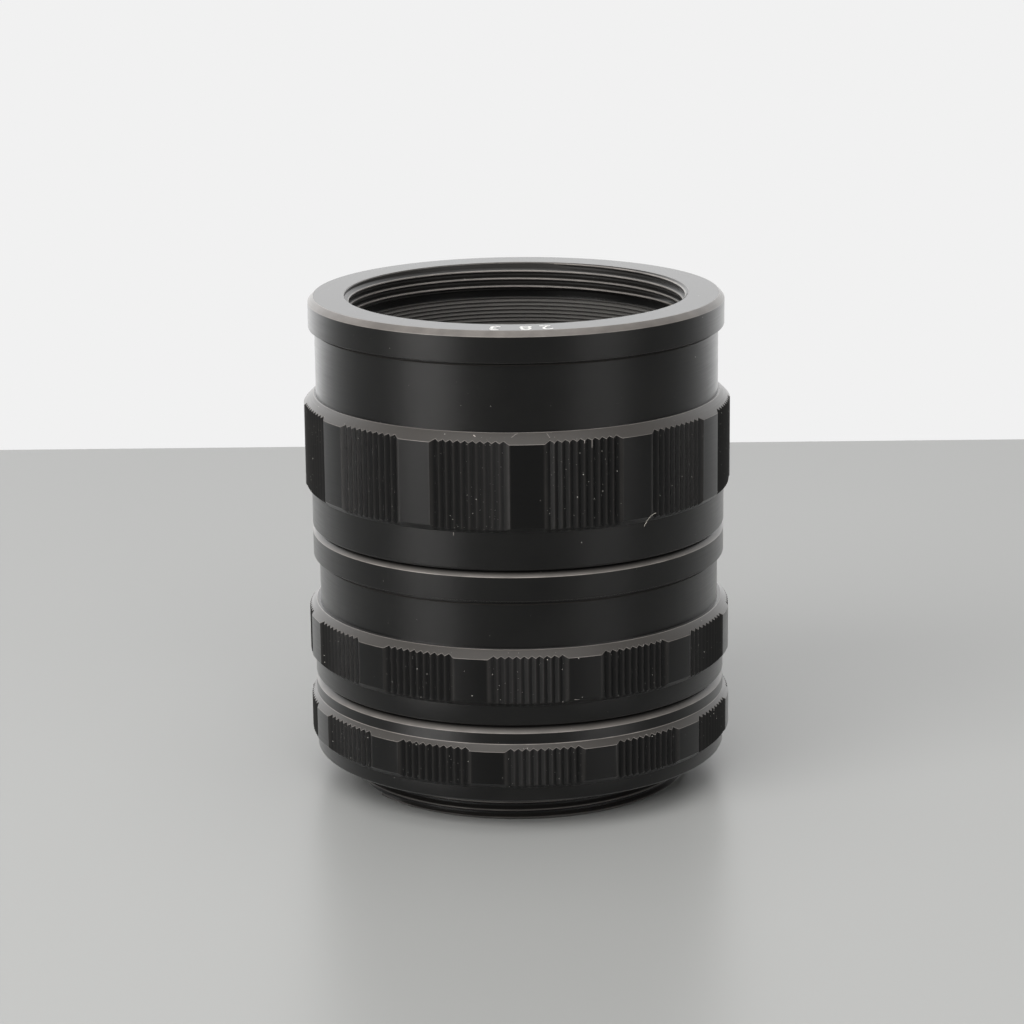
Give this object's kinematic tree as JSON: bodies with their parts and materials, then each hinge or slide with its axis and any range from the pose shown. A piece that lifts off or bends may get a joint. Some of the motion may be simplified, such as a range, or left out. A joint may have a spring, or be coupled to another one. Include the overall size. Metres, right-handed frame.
{
  "type": "macro extension tube",
  "caption": "Stack of black screw-mount extension tubes that screw into each other, with knurled grips, a threaded mouth on top and a male thread below, to set a lens further from the film.",
  "frame": {"origin": "centre of the lowest male thread's end face, on the surface that the stack stands on", "axes": "+Z along the optical axis, from the camera side to the lens side; -Y towards the viewer of the picture"},
  "size_m": [0.0524, 0.0524, 0.061],
  "materials": {
    "black_barrel": "satin black anodised",
    "black_ring": "satin black anodised thread"
  },
  "bodies": {
    "short_tube": {"short_barrel": "black_barrel", "short_mount_ring": "black_ring"},
    "middle_thread": {"middle_mount_ring": "black_ring"},
    "middle_tube": {"middle_barrel": "black_barrel"},
    "long_thread": {"long_mount_ring": "black_ring"},
    "long_tube": {"long_barrel": "black_barrel"}
  },
  "joints": [
    {"name": "middle_rise", "type": "slide", "parent": "short_tube", "child": "middle_thread", "axis": [0, 0, 1], "range_m": [0, 0.0035]},
    {"name": "middle_unscrew", "type": "hinge", "parent": "middle_thread", "child": "middle_tube", "pos_m": [0, 0, 0.0135], "axis": [0, 0, 1], "range_deg": [0, 1260]},
    {"name": "long_rise", "type": "slide", "parent": "middle_tube", "child": "long_thread", "axis": [0, 0, 1], "range_m": [0, 0.0035]},
    {"name": "long_unscrew", "type": "hinge", "parent": "long_thread", "child": "long_tube", "pos_m": [0, 0, 0.0325], "axis": [0, 0, 1], "range_deg": [0, 1260]}
  ],
  "couplings": [
    {"joint": "middle_rise", "follows": "middle_unscrew", "m_per_rad": 0.00015915},
    {"joint": "long_rise", "follows": "long_unscrew", "m_per_rad": 0.00015915}
  ]
}
